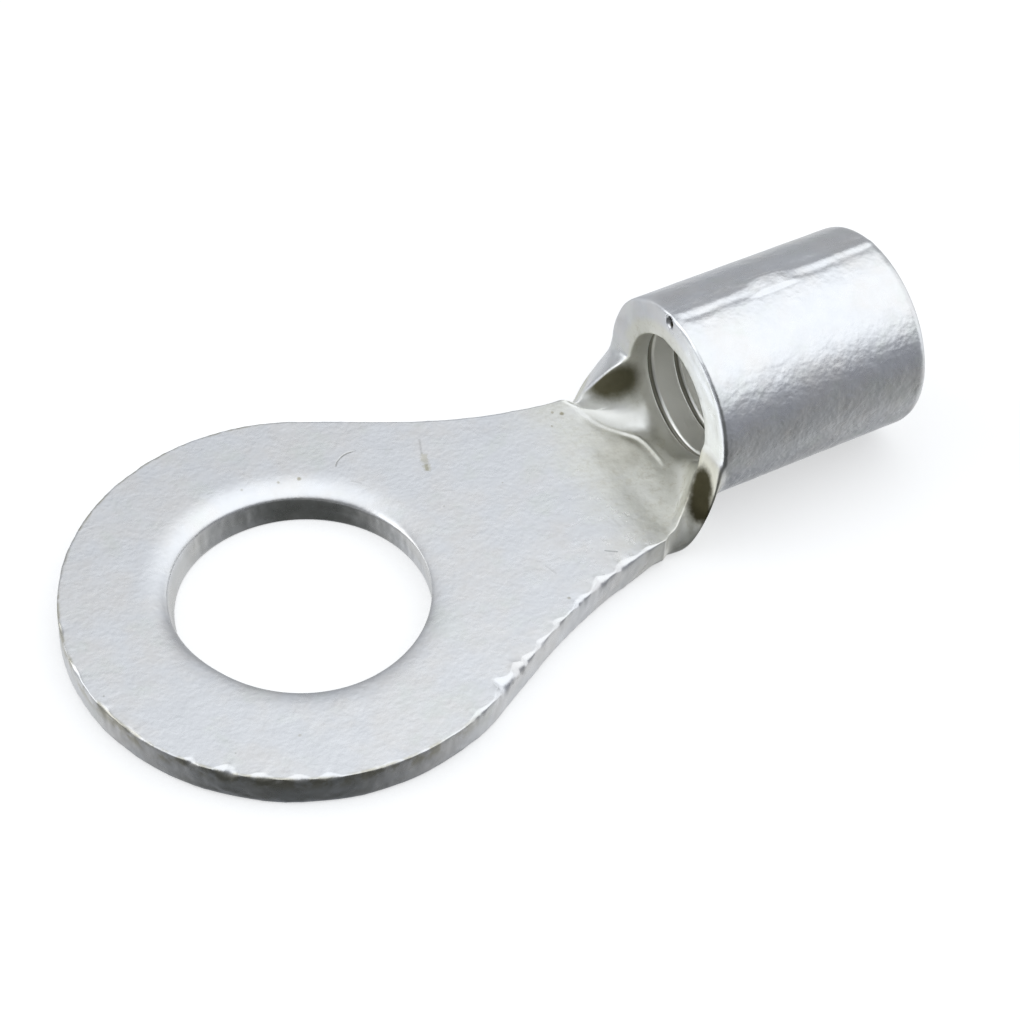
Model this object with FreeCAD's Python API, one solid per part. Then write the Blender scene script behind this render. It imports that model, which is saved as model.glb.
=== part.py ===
import FreeCAD, Part
import math
import os

# Ring terminal for a crimped wire, bare metal, blanked and rolled from one sheet.
# Millimetres. Origin: centre of the stud hole on the underside of the tongue.
# +X runs from the stud hole to the wire barrel, +Z goes up out of the tongue.

V = FreeCAD.Vector

# ---------------------------------------------------------------- dimensions
RING_R = 7.5          # half of the tongue's width across the ring
HOLE_R = 4.2          # stud hole
TONGUE_T = 1.15       # sheet at the flattened tongue
WALL_T = 1.20         # sheet at the barrel
BARREL_R = 3.45       # barrel outside
BARREL_RI = BARREL_R - WALL_T
BARREL_Z = BARREL_R   # barrel axis height, so its underside is level with the tongue's
X_FRONT = 13.4        # barrel mouth on the tongue's side
X_REAR = 21.4         # barrel mouth on the wire's side
X_LOFT = 11.3         # where the plan outline of the tongue ends and the folding begins
X_ROLLED = 14.0       # from here on the sheet is fully rolled

TANGENT_DEG = 62.0    # where the ring's side leaves its circle
STRAIGHT_X = 5.9      # end of the straight side
FLARE_R = 16.7        # concave side of the neck

HOLE_ROLL = 0.38      # drawn-in rim of the hole, upper side
EDGE_BREAK = 0.13     # drawn-in lower and outer edge of the whole cut outline
REAR_ROUND = 0.38     # outer rim of the wire's mouth
REAR_INNER = 0.15     # inner rim of the wire's mouth

GROOVE_FIRST = 14.2   # serrations inside the barrel
GROOVE_PITCH = 1.05
GROOVE_COUNT = 7
GROOVE_W = 0.26
GROOVE_D = 0.12

SEAM_W = 0.34         # closed seam along the barrel's top
SEAM_D = 0.09
SEAM_Y_REAR = 0.22    # the seam drifts a little to one side towards the rear
NOTCH_R = 0.13        # small pit where the seam's rounded corners meet the mouth
BEAD_X0, BEAD_X1 = 16.0, 18.35   # raised run of filler on the seam
BEAD_H = 0.14
BEAD_R = 0.95

RM = BARREL_R - WALL_T / 2.0     # middle of the rolled sheet
S_CORNER = RM * math.pi / 2.0    # where the mouth's edge turns into the ear, along the sheet from its centre line


# ---------------------------------------------------------------- small maths
def smooth(t):
    t = max(0.0, min(1.0, t))
    return t * t * (3.0 - 2.0 * t)


def curve_through(points):
    """A shape-keeping cubic through (a, b) pairs, as a function of a."""
    xs = [p[0] for p in points]
    ys = [p[1] for p in points]
    n = len(xs)
    h = [xs[i + 1] - xs[i] for i in range(n - 1)]
    d = [(ys[i + 1] - ys[i]) / h[i] for i in range(n - 1)]
    m = [d[0]] + [0.0] * (n - 2) + [d[-1]]
    for i in range(1, n - 1):
        if d[i - 1] * d[i] > 0.0:
            w1 = 2.0 * h[i] + h[i - 1]
            w2 = h[i] + 2.0 * h[i - 1]
            m[i] = (w1 + w2) / (w1 / d[i - 1] + w2 / d[i])

    def f(x):
        if x <= xs[0]:
            return ys[0]
        if x >= xs[-1]:
            return ys[-1]
        i = 0
        while x > xs[i + 1]:
            i += 1
        t = (x - xs[i]) / h[i]
        a = 2 * t ** 3 - 3 * t ** 2 + 1
        b = t ** 3 - 2 * t ** 2 + t
        c = -2 * t ** 3 + 3 * t ** 2
        e = t ** 3 - t ** 2
        return a * ys[i] + b * h[i] * m[i] + c * ys[i + 1] + e * h[i] * m[i + 1]

    return f


# ---------------------------------------------------------------- side of the ring and neck in plan
a = math.radians(TANGENT_DEG)
tan_pt = (RING_R * math.cos(a), RING_R * math.sin(a))
slope = -math.cos(a) / math.sin(a)
line_end = (STRAIGHT_X, tan_pt[1] + slope * (STRAIGHT_X - tan_pt[0]))
th0 = math.atan(-slope)


def flare(x):
    sn = math.sin(th0) - (x - STRAIGHT_X) / FLARE_R
    return line_end[1] - FLARE_R * (math.sqrt(1 - sn * sn) - math.cos(th0))


NECK_END = flare(X_LOFT)


# ---------------------------------------------------------------- how the sheet is folded
# s runs along the middle of the sheet from its centre line, positive on the +Y side.
crease_x = curve_through([
    (-9.0, 11.50), (-4.2, 11.50), (-3.4, 11.55), (-2.9, 11.75), (-2.3, 12.10), (-1.7, 12.55),
    (-1.1, 12.92), (-0.49, 13.06), (0.19, 13.05), (0.63, 12.97), (1.21, 12.63), (1.74, 12.31),
    (2.32, 12.11), (2.9, 12.03), (3.4, 12.00), (4.2, 11.95), (9.0, 11.95)])
rolled_x = curve_through([
    (-9.2, X_FRONT), (-S_CORNER, X_FRONT), (-4.0, 13.66), (-3.0, 13.82), (-2.0, 13.92),
    (0.0, X_ROLLED), (2.0, 13.85), (3.0, 13.66), (4.0, 13.53), (S_CORNER, X_FRONT),
    (9.2, X_FRONT)])
side_near = curve_through([
    (11.3, NECK_END), (11.6, 3.51), (12.0, 3.46), (12.4, 3.52), (12.75, 3.68), (13.07, 3.98),
    (13.25, 4.24), (13.4, S_CORNER)])
side_far = curve_through([
    (11.3, NECK_END), (11.65, 3.535), (12.0, 3.52), (12.35, 3.60), (12.75, 3.84), (13.07, 4.12),
    (13.25, 4.30), (13.4, S_CORNER)])


def sheet_t(x):
    return TONGUE_T + (WALL_T - TONGUE_T) * smooth((x - 11.5) / (X_FRONT - 11.5))


def rolled_share(x, s):
    a = crease_x(s) - 0.1
    b = rolled_x(s)
    return smooth((x - a) / (b - a)) ** (1.6 + 0.25 * math.tanh(s / 1.5))


def sheet_mid(x, s):
    w = rolled_share(x, s)
    a = s / RM
    h = sheet_t(x) / 2.0
    return ((1 - w) * s + w * RM * math.sin(a), h + w * RM * (1 - math.cos(a)))


def sheet_point(x, s, side):
    """side +1 is the upper, inner skin and -1 the lower, outer skin."""
    e = 1e-3
    y, z = sheet_mid(x, s)
    y0, z0 = sheet_mid(x, s - e)
    y1, z1 = sheet_mid(x, s + e)
    dy, dz = y1 - y0, z1 - z0
    n = math.hypot(dy, dz)
    h = sheet_t(x) / 2.0 * side
    return V(x, y - dz / n * h, z + dy / n * h)


def skin(x, s0, s1, side, count=31):
    us = [i / (count - 1.0) for i in range(count)]
    pts = [sheet_point(x, s0 + (s1 - s0) * u, side) for u in us]
    c = Part.BSplineCurve()
    c.interpolate(Points=pts, Parameters=us)
    return c.toShape(), pts[0], pts[-1]


def section(x, sn, sf):
    """One closed section across the sheet at x, from -sn to +sf, its lower corners broken."""
    b = EDGE_BREAK
    k = -1.0 + 2.0 * b / sheet_t(x)
    top, t0, t1 = skin(x, -sn, sf, 1)
    low, l0, l1 = skin(x, -sn + b, sf - b, -1)
    m0 = sheet_point(x, -sn, k)
    m1 = sheet_point(x, sf, k)
    edges = [
        top,
        Part.makeLine(t1, m1),
        Part.makeLine(m1, l1),
        low,
        Part.makeLine(l0, m0),
        Part.makeLine(m0, t0),
    ]
    return Part.Wire(Part.__sortEdges__(edges))


# ---------------------------------------------------------------- tongue
x_mid = 0.5 * (STRAIGHT_X + X_LOFT)


def outline(z, inset=0.0):
    """The tongue's plan outline at height z, moved inwards by inset."""
    c, s = math.cos(a), math.sin(a)

    def p(x, y, nx, ny):
        return V(x - nx * inset, y - ny * inset, z)

    def normal_flare(x):
        sn = math.sin(th0) - (x - STRAIGHT_X) / FLARE_R
        return sn, math.sqrt(1 - sn * sn)

    r = RING_R - inset
    A = V(r * c, r * s, z)
    B = p(line_end[0], line_end[1], c, s)
    nm = normal_flare(x_mid)
    M = p(x_mid, flare(x_mid), nm[0], nm[1])
    ne = normal_flare(X_LOFT)
    E = p(X_LOFT, flare(X_LOFT), ne[0], ne[1])
    # carried square to the end plane
    E = V(X_LOFT, flare(X_LOFT) - inset, z)
    m = lambda q: V(q.x, -q.y, q.z)
    edges = [
        Part.Arc(m(A), V(-r, 0, z), A).toShape(),
        Part.makeLine(A, B),
        Part.Arc(B, M, E).toShape(),
        Part.makeLine(E, m(E)),
        Part.Arc(m(E), m(M), m(B)).toShape(),
        Part.makeLine(m(B), m(A)),
    ]
    return Part.Wire(Part.__sortEdges__(edges))


plate = Part.Face(outline(EDGE_BREAK)).extrude(V(0, 0, TONGUE_T - EDGE_BREAK))
foot = Part.makeLoft([outline(0.0, EDGE_BREAK), outline(EDGE_BREAK)], True, True)
tongue = plate.fuse(foot).removeSplitter()

hole = Part.makeCylinder(HOLE_R, TONGUE_T + 2, V(0, 0, -1))
tongue = tongue.cut(hole)
rim = [e for e in tongue.Edges
       if e.Curve.TypeId == "Part::GeomCircle" and abs(e.Curve.Radius - HOLE_R) < 1e-6
       and abs(e.Curve.Center.z - TONGUE_T) < 1e-6]
tongue = tongue.makeFillet(HOLE_ROLL, rim)

# ---------------------------------------------------------------- neck and trough
xs_a = [11.3, 11.45, 11.6, 11.8, 12.0, 12.2, 12.4, 12.6, 12.8, 12.95, 13.1, 13.22, 13.32, 13.4]
neck = Part.makeLoft([section(x, side_near(x), side_far(x)) for x in xs_a], True, False, False, 3)
xs_b = [13.4, 13.55, 13.7, 13.85, 14.0]


def plain_section(x):
    """The lower half behind the mouth's plane, where the sheet runs on into the upper half."""
    top, t0, t1 = skin(x, -S_CORNER, S_CORNER, 1)
    low, l0, l1 = skin(x, -S_CORNER, S_CORNER, -1)
    return Part.Wire(Part.__sortEdges__([top, Part.makeLine(t1, l1), low, Part.makeLine(l0, t0)]))


trough = Part.makeLoft([plain_section(x) for x in xs_b], True, False, False, 3)

# ---------------------------------------------------------------- barrel
x0, x1 = X_FRONT, X_REAR
pts = [V(x0, 0, BARREL_RI), V(x0, 0, BARREL_R - EDGE_BREAK), V(x0 + EDGE_BREAK, 0, BARREL_R),
       V(x1 - REAR_ROUND, 0, BARREL_R)]
edges = [Part.makeLine(pts[i], pts[i + 1]) for i in range(3)]
k = REAR_ROUND * (1 - math.cos(math.pi / 4))
edges.append(Part.Arc(pts[3], V(x1 - k, 0, BARREL_R - k), V(x1, 0, BARREL_R - REAR_ROUND)).toShape())
low = [V(x1, 0, BARREL_R - REAR_ROUND), V(x1, 0, BARREL_RI + REAR_INNER),
       V(x1 - REAR_INNER, 0, BARREL_RI)]
for i in reversed(range(GROOVE_COUNT)):
    g = GROOVE_FIRST + i * GROOVE_PITCH
    low += [V(g + GROOVE_W / 2, 0, BARREL_RI), V(g + GROOVE_W / 5, 0, BARREL_RI + GROOVE_D),
            V(g - GROOVE_W / 5, 0, BARREL_RI + GROOVE_D), V(g - GROOVE_W / 2, 0, BARREL_RI)]
low.append(V(x0, 0, BARREL_RI))
edges += [Part.makeLine(low[i], low[i + 1]) for i in range(len(low) - 1)]
prof = Part.Face(Part.Wire(Part.__sortEdges__(edges)))
barrel = prof.revolve(V(0, 0, 0), V(1, 0, 0), 360)
barrel.translate(V(0, 0, BARREL_Z))
barrel = barrel.cut(Part.makeBox(X_ROLLED - X_FRONT + 1, 20, 20, V(X_FRONT - 1, -10, BARREL_Z - 20)))

# filler on the seam: a low raised run, then the seam itself as a shallow groove
half = (BEAD_X1 - BEAD_X0) / 2.0
rho = (half ** 2 + BEAD_H ** 2) / (2 * BEAD_H)
xm = (BEAD_X0 + BEAD_X1) / 2.0
over = 0.35
top_z = BEAD_R
arc = Part.Arc(V(xm - half - over, 0, top_z - ((half + over) ** 2) / (2 * rho)), V(xm, 0, top_z),
               V(xm + half + over, 0, top_z - ((half + over) ** 2) / (2 * rho)))
bead_face = Part.Face(Part.Wire([
    arc.toShape(),
    Part.makeLine(arc.EndPoint, V(xm + half + over, 0, 0)),
    Part.makeLine(V(xm + half + over, 0, 0), V(xm - half - over, 0, 0)),
    Part.makeLine(V(xm - half - over, 0, 0), arc.StartPoint)]))
bead = bead_face.revolve(V(0, 0, 0), V(1, 0, 0), 360)
bead.translate(V(0, 0.06, BARREL_Z + BARREL_R + BEAD_H - BEAD_R))
bead = bead.cut(Part.makeCylinder(BARREL_R - WALL_T / 2, 12, V(12, 0, BARREL_Z), V(1, 0, 0)))


def seam_v(x, y):
    zt = BARREL_Z + math.sqrt(BARREL_R ** 2 - y * y)
    return Part.Wire(Part.makePolygon([
        V(x, y - SEAM_W, zt + SEAM_D), V(x, y, zt - SEAM_D), V(x, y + SEAM_W, zt + SEAM_D),
        V(x, y - SEAM_W, zt + SEAM_D)]))


seam = Part.makeLoft([seam_v(X_FRONT - 0.5, 0.0), seam_v(X_REAR + 0.5, SEAM_Y_REAR)], True, True)
notch = Part.makeCylinder(NOTCH_R, 1.0, V(X_FRONT - 0.02, 0.0, BARREL_Z + BARREL_R - 0.42))

barrel = barrel.cut(seam).fuse(bead).cut(notch)

# ---------------------------------------------------------------- one piece
body = tongue.fuse([neck, trough, barrel], 1e-3).removeSplitter()
if body.ShapeType == "Compound" and len(body.Solids) == 1:
    body = body.Solids[0]

os.makedirs("parts", exist_ok=True)
body.exportStep("parts/terminal_body.step")
print("valid", body.isValid(), "solids", len(body.Solids), "volume", round(body.Volume, 2),
      "box", body.BoundBox, "faces", len(body.Faces))
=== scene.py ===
import math

import bmesh
import bpy
import numpy as np
from mathutils import Matrix, Vector


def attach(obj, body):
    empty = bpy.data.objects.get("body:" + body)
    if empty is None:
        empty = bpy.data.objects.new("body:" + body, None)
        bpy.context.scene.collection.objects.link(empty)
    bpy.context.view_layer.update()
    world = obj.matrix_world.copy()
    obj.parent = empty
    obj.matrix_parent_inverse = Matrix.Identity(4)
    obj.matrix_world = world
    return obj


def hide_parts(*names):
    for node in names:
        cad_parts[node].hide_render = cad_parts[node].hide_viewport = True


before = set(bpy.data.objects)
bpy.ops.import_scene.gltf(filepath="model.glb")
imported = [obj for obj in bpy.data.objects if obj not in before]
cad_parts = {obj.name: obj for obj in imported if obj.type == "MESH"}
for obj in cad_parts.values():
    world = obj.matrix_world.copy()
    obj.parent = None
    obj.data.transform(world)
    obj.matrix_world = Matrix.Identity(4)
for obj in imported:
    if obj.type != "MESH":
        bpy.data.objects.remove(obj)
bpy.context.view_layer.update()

# Ring terminal, one sheet of tin-plated copper, blanked, coined and rolled.
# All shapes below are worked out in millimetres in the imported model's frame and
# scaled to metres when the mesh is made. Origin: centre of the stud hole on the
# tongue's underside, +X to the wire barrel, +Z up.

# ------------------------------------------------------------------ dimensions
RING_R = 7.5
HOLE_R = 4.2
TONGUE_T = 1.15
WALL_T = 1.20
BARREL_R = 3.45
X_FRONT = 13.4
X_REAR = 21.4
X_LOFT = 11.3
X_ROLLED = 14.0
TANGENT_DEG = 62.0
STRAIGHT_X = 5.9
FLARE_R = 16.7
RM = BARREL_R - WALL_T / 2.0
S_CORNER = RM * math.pi / 2.0
S_SEAM = RM * math.pi

DISH_W = 0.95         # drawn-in rim of the hole, width; depth on the far side and on the near one
DISH_FAR, DISH_NEAR = 0.33, 0.09
E_TOP = 0.035         # sharp side of the cut edge
E_LOW = 0.13          # rounded side of the cut edge
REAR_ROUND = 0.38
REAR_INNER = 0.15
GROOVE_FIRST, GROOVE_PITCH, GROOVE_COUNT = 14.2, 1.05, 7
GROOVE_W, GROOVE_D = 0.20, 0.13
SEAM_DRIFT = 0.18     # along the sheet, from front to rear

NR = 480              # columns round the ring's cut edge
NS = 130              # columns across the neck
NF = 140              # columns round the barrel's front face


# ------------------------------------------------------------------ small maths
def smooth(t):
    t = np.clip(t, 0.0, 1.0)
    return t * t * (3.0 - 2.0 * t)


def curve_through(points):
    xs, ys = np.array(points, float).T
    h = np.diff(xs)
    d = np.diff(ys) / h
    m = np.zeros(len(xs))
    m[0], m[-1] = d[0], d[-1]
    for i in range(1, len(xs) - 1):
        if d[i - 1] * d[i] > 0.0:
            w1, w2 = 2.0 * h[i] + h[i - 1], h[i] + 2.0 * h[i - 1]
            m[i] = (w1 + w2) / (w1 / d[i - 1] + w2 / d[i])

    def f(x):
        x = np.clip(np.asarray(x, float), xs[0], xs[-1])
        i = np.clip(np.searchsorted(xs, x, side="right") - 1, 0, len(xs) - 2)
        t = (x - xs[i]) / h[i]
        return ((2 * t ** 3 - 3 * t ** 2 + 1) * ys[i] + (t ** 3 - 2 * t ** 2 + t) * h[i] * m[i]
                + (-2 * t ** 3 + 3 * t ** 2) * ys[i + 1] + (t ** 3 - t ** 2) * h[i] * m[i + 1])

    return f


_perm = np.random.default_rng(20817).permutation(4096)
_vals = np.random.default_rng(5119).uniform(-1.0, 1.0, 4096)


def lattice(i, j, k):
    return _vals[_perm[(_perm[(_perm[i & 4095] + j) & 4095] + k) & 4095]]


def noise3(x, y, z):
    """Smooth value noise, -1 to 1, one cell a unit."""
    x, y, z = np.broadcast_arrays(np.asarray(x, float), np.asarray(y, float), np.asarray(z, float))
    ix, iy, iz = (np.floor(a).astype(int) for a in (x, y, z))
    fx, fy, fz = smooth(x - ix), smooth(y - iy), smooth(z - iz)
    out = 0.0
    for a in (0, 1):
        for b in (0, 1):
            for c in (0, 1):
                w = (fx if a else 1 - fx) * (fy if b else 1 - fy) * (fz if c else 1 - fz)
                out = out + w * lattice(ix + a, iy + b, iz + c)
    return out


def bump_at(u, centre, width):
    return np.exp(-((u - centre) / width) ** 2)


# ------------------------------------------------------------------ how the sheet is folded
a_t = math.radians(TANGENT_DEG)
tan_pt = (RING_R * math.cos(a_t), RING_R * math.sin(a_t))
slope = -math.cos(a_t) / math.sin(a_t)
line_end = (STRAIGHT_X, tan_pt[1] + slope * (STRAIGHT_X - tan_pt[0]))
th0 = math.atan(-slope)


def flare(x):
    sn = math.sin(th0) - (np.asarray(x, float) - STRAIGHT_X) / FLARE_R
    return line_end[1] - FLARE_R * (np.sqrt(1 - sn * sn) - math.cos(th0))


NECK_END = float(flare(X_LOFT))

# the tool mark across the flat's end, and where each strip of the sheet starts to rise
mark_x = curve_through([
    (-9.0, 11.50), (-4.2, 11.50), (-3.4, 11.55), (-2.9, 11.75), (-2.3, 12.10), (-1.7, 12.55),
    (-1.1, 12.92), (-0.49, 13.06), (0.19, 13.05), (0.63, 12.97), (1.21, 12.63), (1.74, 12.31),
    (2.32, 12.11), (2.9, 12.03), (3.4, 12.00), (4.2, 11.95), (9.0, 11.95)])
crease_x = curve_through([
    (-9.0, 11.50), (-4.2, 11.50), (-3.4, 11.58), (-2.9, 11.86), (-2.3, 12.30), (-1.7, 12.72),
    (-1.1, 12.96), (-0.49, 13.06), (0.19, 13.05), (0.63, 12.97), (1.21, 12.62), (1.74, 12.26),
    (2.32, 11.96), (2.8, 11.84), (3.15, 11.78), (3.4, 11.74), (3.65, 11.70), (4.2, 11.70), (9.0, 11.70)])
rolled_x = curve_through([
    (-9.2, X_FRONT), (-S_CORNER, X_FRONT), (-4.0, 13.66), (-3.0, 13.82), (-2.0, 13.92),
    (0.0, X_ROLLED), (2.0, 13.85), (3.0, 13.62), (4.0, 13.43), (S_CORNER, X_FRONT),
    (9.2, X_FRONT)])
rise_power = curve_through([
    (-9.0, 1.35), (-3.5, 1.36), (-3.0, 1.70), (-2.4, 2.0), (-1.5, 1.95), (-0.5, 1.65), (0.5, 1.25),
    (1.5, 1.20), (2.1, 1.60), (2.6, 1.75), (3.0, 1.62), (3.3, 1.30), (3.6, 0.96), (3.9, 0.92), (9.0, 0.92)])
lean_share = curve_through([
    (-9.0, 0.0), (0.6, 0.0), (1.6, 0.02), (2.4, 0.09), (2.9, 0.28), (3.3, 0.60), (3.55, 0.788),
    (4.0, 1.0), (4.8, 1.44), (9.0, 1.44)])
side_near = curve_through([
    (11.3, NECK_END), (11.34, 3.58), (11.41, 3.555), (11.50, 3.495), (11.59, 3.44), (11.67, 3.425),
    (12.0, 3.455), (12.4, 3.525), (12.75, 3.68), (13.07, 3.98), (13.25, 4.24), (13.4, S_CORNER)])
side_far = curve_through([
    (11.3, NECK_END), (11.65, 3.565), (12.0, 3.551), (12.35, 3.86), (12.75, 4.15), (13.07, 4.31),
    (13.25, 4.38), (13.36, 4.42), (13.4, S_CORNER)])
# how far the lower corner of the far side's cut edge lies inside the upper one
bevel_far = curve_through([(11.3, 0.0), (12.3, 0.0), (12.6, 0.09), (12.85, 0.22), (13.07, 0.32), (13.2, 0.34),
                           (13.3, 0.29), (13.4, 0.04)])


def sheet_t(x):
    return TONGUE_T + (WALL_T - TONGUE_T) * smooth((x - 11.5) / (X_FRONT - 11.5))


def rolled_share(x, s):
    lo, hi = crease_x(s) - 0.1, rolled_x(s)
    return smooth((x - lo) / (hi - lo)) ** rise_power(s)


def sheet_mid(x, s):
    w = rolled_share(x, s)
    a = s / RM
    # the far ear stands a little higher than a plain roll would have it
    lean = 4 * w * (1 - w) * lean_share(s)
    return ((1 - w) * s + w * RM * np.sin(a) + 0.03 * lean,
            sheet_t(x) / 2.0 + w * RM * (1 - np.cos(a)) + 0.14 * lean)


def place(x, s, k, extra=0.0):
    """Point at blank position (x, s), k = +1 on the upper or inner skin and -1 on the lower
    or outer one; extra stands the skin proud of the sheet by that much."""
    x, s, k, extra = np.broadcast_arrays(*(np.asarray(q, float) for q in (x, s, k, extra)))
    e = 0.25 + 0.13 * smooth((s - 2.0) / 0.6) * smooth((13.0 - x) / 0.5)
    y, z = sheet_mid(x, s)
    y0, z0 = sheet_mid(x, s - e)
    y1, z1 = sheet_mid(x, s + e)
    dy, dz = y1 - y0, z1 - z0
    n = np.hypot(dy, dz)
    h = k * (sheet_t(x) / 2.0 + extra)
    w = rolled_share(x, s)
    turn = 0.37 * 4 * w * (1 - w) * np.clip(lean_share(s) / 0.9, 0, 1.2)
    dy, dz = dy * np.cos(turn) - dz * np.sin(turn), dy * np.sin(turn) + dz * np.cos(turn)
    tip = 0.797 * 4 * w * (1 - w) * np.clip(lean_share(s) / 0.81, 0, 1)
    m = np.sqrt(1 + tip * tip)
    back = 0.23 * 4 * w * (1 - w) * lean_share(s)
    return np.stack([x + back - tip / m * h, y - dz / n / m * h, z + dy / n / m * h], -1)


# ------------------------------------------------------------------ mesh store
verts, quads = [], []
count = 0


def put(points):
    """Adds an array of points and gives their numbers in the same layout."""
    global count
    p = np.asarray(points, float)
    idx = np.arange(count, count + p.reshape(-1, 3).shape[0]).reshape(p.shape[:-1])
    verts.append(p.reshape(-1, 3))
    count += idx.size
    return idx


def sew(a, flip=False, loop=False):
    """Quads over a 2-D layout of vertex numbers; loop closes the second direction."""
    if loop:
        a = np.concatenate([a, a[:, :1]], 1)
    q = np.stack([a[:-1, :-1], a[:-1, 1:], a[1:, 1:], a[1:, :-1]], -1).reshape(-1, 4)
    quads.append(q[:, ::-1] if flip else q)


# ------------------------------------------------------------------ the blank's outline round the ring
def dense_outline():
    xf = np.linspace(X_LOFT, STRAIGHT_X, 400)
    near = np.stack([xf, -flare(xf)], -1)
    t = np.linspace(0, 1, 120)[1:]
    line = np.stack([line_end[0] + (tan_pt[0] - line_end[0]) * t,
                     -(line_end[1] + (tan_pt[1] - line_end[1]) * t)], -1)
    ang = np.linspace(-a_t, -(2 * math.pi - a_t), 2400)[1:]
    arc = np.stack([RING_R * np.cos(ang), RING_R * np.sin(ang)], -1)
    back_line = line[:-1][::-1] * [1, -1]
    back_line = np.concatenate([back_line, [[line_end[0], line_end[1]]]])
    far = near[:-1][::-1] * [1, -1]
    return np.concatenate([near, line, arc, back_line, far])


def resample(path, n):
    d = np.concatenate([[0], np.cumsum(np.hypot(*np.diff(path, axis=0).T))])
    u = np.linspace(0, d[-1], n)
    return np.stack([np.interp(u, d, path[:, 0]), np.interp(u, d, path[:, 1])], -1), u


ring_pts, ring_u = resample(dense_outline(), NR + 1)
tan = np.gradient(ring_pts, axis=0)
tan /= np.hypot(tan[:, 0], tan[:, 1])[:, None]
# the path runs clockwise seen from above: out of the blank is on its left
ring_out = np.stack([-tan[:, 1], tan[:, 0]], -1)
if (ring_out[NR // 2] * ring_pts[NR // 2]).sum() < 0:
    ring_out = -ring_out
end_share = smooth(np.minimum(ring_u, ring_u[-1] - ring_u) / 0.5)[:, None]
square = np.stack([np.zeros(NR + 1), np.sign(ring_pts[:, 1])], -1)
ring_out = ring_out * end_share + square * (1 - end_share)
ring_out /= np.hypot(ring_out[:, 0], ring_out[:, 1])[:, None]
ring_ang = np.arctan2(ring_pts[:, 1], ring_pts[:, 0])


# ------------------------------------------------------------------ the cut edge's profile
# Each row: (share of the sharp side's rounding, share of the rounded side's, how far down).
ALPHA_T = np.radians([0, 28, 58, 90])
ALPHA_L = np.radians([90, 66, 44, 22, 0])
WALL_F = (0.20, 0.40, 0.56, 0.68, 0.77, 0.85, 0.93)
ROWS = len(ALPHA_T) + len(WALL_F) + len(ALPHA_L)


def edge_profile(et, el, thick, rough=0.0):
    """Insets and depths below the upper skin for one column or many: arrays (ROWS, ...)."""
    et, el, thick = np.broadcast_arrays(*(np.asarray(q, float) for q in (et, el, thick)))
    inset, depth = [], []
    for al in ALPHA_T:
        inset.append(et * (1 - math.sin(al)))
        depth.append(et * (1 - math.cos(al)))
    for f in WALL_F:
        inset.append(0.0 * et)
        depth.append(et + (thick - et - el) * f)
    for al in ALPHA_L:
        inset.append(el * (1 - math.sin(al)))
        depth.append(thick - el * (1 - math.cos(al)))
    return np.array(inset), np.array(depth)


def edge_wear(p, along):
    """Size of the broken edge on the sharp side: ragged, with torn places. The plan points p are not used."""
    fine = noise3(along * 5.2, 0.3, 1.7)
    mid = noise3(along * 1.9, 4.1, 2.2)
    e = E_TOP + 0.022 * fine + 0.018 * np.clip(mid, 0, 1)
    return np.clip(e, 0.012, None)


def torn(along, centre, length, size):
    """A torn stretch of the cut edge: a handful of flat facets of uneven size."""
    env = smooth(1.0 - np.abs(along - centre) / length)
    teeth = 0.80 + 0.40 * noise3(along * 2.6, centre, 9.0) + 0.22 * noise3(along * 6.3, centre, 3.0)
    return 1.15 * size * env * np.clip(teeth, 0.1, 1.3)


def u_at(px, py):
    """Distance along the ring's outline of the point nearest (px, py)."""
    return ring_u[np.argmin(np.hypot(ring_pts[:, 0] - px, ring_pts[:, 1] - py))]


et_ring = edge_wear(ring_pts, ring_u)
near_side = smooth((-ring_out[:, 1] + 0.1) / 0.5)
for (cx, cy, ln, sz) in [
        (10.6, -3.7, 0.5, 0.16), (9.7, -3.9, 0.7, 0.24), (8.7, -4.25, 0.7, 0.26), (7.7, -4.7, 0.5, 0.20),
        (6.6, -5.1, 0.4, 0.16), (5.7, -5.5, 0.5, 0.14), (4.7, -5.9, 0.8, 0.30), (3.8, -6.45, 0.7, 0.36),
        (2.6, -7.0, 0.5, 0.14), (-0.8, -7.5, 0.9, 0.08), (-2.6, -7.0, 0.5, 0.15), (-3.4, -6.7, 0.5, 0.22),
        (-4.3, -6.1, 0.5, 0.24), (-5.2, -5.4, 0.5, 0.34), (-5.9, -4.6, 0.4, 0.20), (-6.9, -2.9, 0.7, 0.14),
        (-7.3, -1.6, 0.5, 0.12), (-7.5, 0.2, 0.6, 0.10), (-7.2, 2.0, 0.5, 0.09)]:
    et_ring = et_ring + torn(ring_u, u_at(cx, cy), ln, sz)


def low_round(x, y):
    """Rounding of the cut edge's lower side: larger on the near side where the neck begins."""
    return E_LOW + 0.17 * smooth((x - 9.6) / 1.4) * smooth((12.7 - x) / 0.9) * (y < 0)


el_ring = low_round(ring_pts[:, 0], ring_pts[:, 1])
el_base = el_ring.copy()
el_ring = el_ring * (1 + 0.25 * noise3(ring_u * 0.8, 7.0, 0.0))
ends = smooth(np.minimum(ring_u, ring_u[-1] - ring_u) / 0.35)
et_ring = E_TOP + (et_ring - E_TOP) * ends
el_ring = el_base + (el_ring - el_base) * ends


# ------------------------------------------------------------------ slow relief of the flat skins
def top_relief(x, y):
    """Height of the tongue's upper skin above the flat: coining waves, fading out towards the hole."""
    r = np.hypot(x, y)
    waves = 0.0075 * noise3(x * 0.42, y * 0.42, 5.5) + 0.0035 * noise3(x * 1.3, y * 1.3, 8.5)
    return waves * smooth((r - HOLE_R) / 1.2)


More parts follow.
